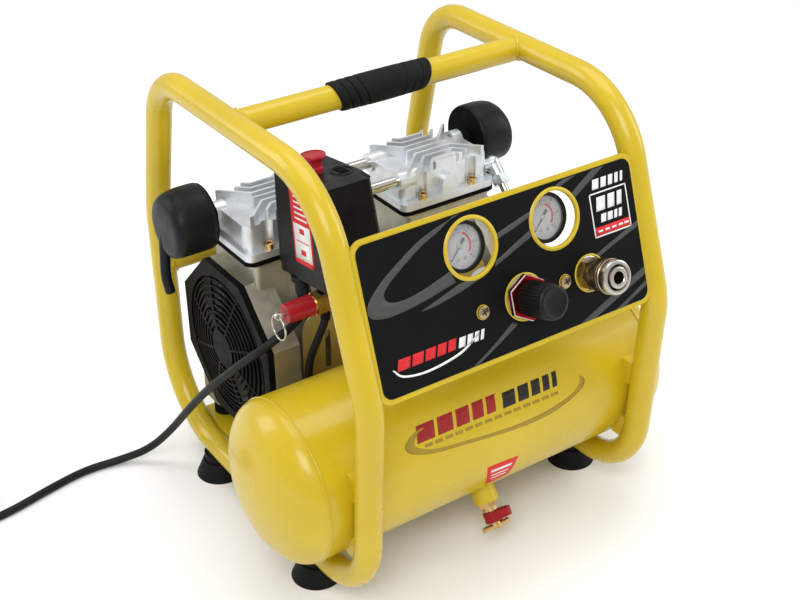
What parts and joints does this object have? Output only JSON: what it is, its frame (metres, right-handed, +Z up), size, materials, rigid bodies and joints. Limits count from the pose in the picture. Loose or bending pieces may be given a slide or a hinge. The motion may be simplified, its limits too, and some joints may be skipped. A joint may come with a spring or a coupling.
{
  "type": "airbrush compressor",
  "caption": "Twin-cylinder oil-free air compressor in a tube frame, with tank, fan-cooled motor, pressure switch, gauges, regulator, quick coupler and drain valve.",
  "frame": {"origin": "on the floor under the middle of the object without its loose cord", "axes": "+Z up, +X along the tank to the user's right, -Y towards the user who faces the control panel"},
  "size_m": [0.6365, 0.4839, 0.3907],
  "materials": {
    "black_label": "satin",
    "black_plastic": "matt",
    "black_rubber": "matt",
    "black_steel": "satin",
    "brass": "turned",
    "cast_aluminium": "as cast",
    "chrome": "polished",
    "clear": "clear",
    "dial_white": "matt",
    "foam": "open foam",
    "red_plastic": "gloss",
    "steel": "zinc plated",
    "yellow_paint": "gloss"
  },
  "bodies": {
    "frame": {"air_pipes": "chrome", "bolts": "steel", "control_panel": "yellow_paint", "cord_coil": "black_rubber", "cord_glands": "black_plastic", "coupler_body": "brass", "crankcases": "cast_aluminium", "cross_bars": "yellow_paint", "cross_tubes": "chrome", "cylinder_heads": "cast_aluminium", "cylinder_sleeves": "cast_aluminium", "drain_valve_body": "brass", "fan_guards": "black_plastic", "filter_foams": "foam", "foot_pads": "black_rubber", "gauge_cases": "black_steel", "gauge_dials": "dial_white", "gauge_lenses": "clear", "hand_grip": "black_rubber", "head_gaskets": "black_rubber", "intake_filters": "black_plastic", "isolators": "black_rubber", "left_hoop": "yellow_paint", "mains_cord": "black_rubber", "mains_plug": "black_rubber", "manifold": "brass", "motor_lead": "black_rubber", "motor_plate": "yellow_paint", "motor_shroud": "steel", "motor_stator": "steel", "outlet_blocks": "brass", "panel_label": "black_label", "panel_screws": "brass", "pipe_fittings": "brass", "regulator_body": "cast_aluminium", "regulator_nut": "red_plastic", "regulator_spring": "steel", "relief_valve_body": "brass", "relief_valve_cap": "red_plastic", "right_hoop": "yellow_paint", "run_capacitor": "steel", "shaft_bearings": "steel", "switch_base": "black_plastic", "switch_cover": "black_plastic", "switch_works": "steel", "tank_shell": "yellow_paint", "valve_plates": "steel", "welded_fittings": "yellow_paint", "wobble_pistons": "cast_aluminium"},
    "crankshaft": {"crankshaft": "steel", "motor_rotor": "steel", "cooling_fans": "black_plastic"},
    "needle_left": {"gauge_needle_left": "black_steel"},
    "needle_right": {"gauge_needle_right": "black_steel"},
    "regulator_knob": {"regulator_knob": "black_plastic"},
    "coupler_sleeve": {"coupler_sleeve": "brass"},
    "switch_knob": {"switch_knob": "red_plastic"},
    "relief_stem": {"relief_valve_stem": "steel"},
    "relief_ring": {"relief_valve_ring": "steel"},
    "drain_handle": {"drain_valve_handle": "red_plastic"}
  },
  "joints": [
    {"name": "shaft_spin", "type": "hinge", "parent": "frame", "child": "crankshaft", "pos_m": [0.003, 0.08, 0.145], "axis": [1, 0, 0], "continuous": true},
    {"name": "left_needle_turn", "type": "hinge", "parent": "frame", "child": "needle_left", "pos_m": [-0.032, -0.12433, 0.30486], "axis": [0, -0.9483, 0.3173], "range_deg": [-270, 0]},
    {"name": "right_needle_turn", "type": "hinge", "parent": "frame", "child": "needle_right", "pos_m": [0.048, -0.12433, 0.30486], "axis": [0, -0.9483, 0.3173], "range_deg": [-270, 0]},
    {"name": "regulator_turn", "type": "hinge", "parent": "frame", "child": "regulator_knob", "pos_m": [0.008, -0.17073, 0.26703], "axis": [0, -0.9483, 0.3173], "range_deg": [-720, 720]},
    {"name": "coupler_release", "type": "slide", "parent": "frame", "child": "coupler_sleeve", "axis": [0, 0.9483, -0.3173], "range_m": [0, 0.004], "stiffness_N_per_m": 700},
    {"name": "switch_pull", "type": "slide", "parent": "frame", "child": "switch_knob", "axis": [0, 0.1392, 0.9903], "range_m": [0, 0.007]},
    {"name": "relief_pull", "type": "slide", "parent": "frame", "child": "relief_stem", "axis": [-1, 0, 0], "range_m": [0, 0.003], "stiffness_N_per_m": 600},
    {"name": "relief_ring_swing", "type": "hinge", "parent": "relief_stem", "child": "relief_ring", "pos_m": [-0.138, -0.027, 0.2325], "axis": [0, 1, 0], "range_deg": [-25, 80]},
    {"name": "drain_turn", "type": "hinge", "parent": "frame", "child": "drain_handle", "pos_m": [0, -0.11501, 0.05606], "axis": [0, -0.6088, -0.7934], "range_deg": [0, 180]}
  ]
}
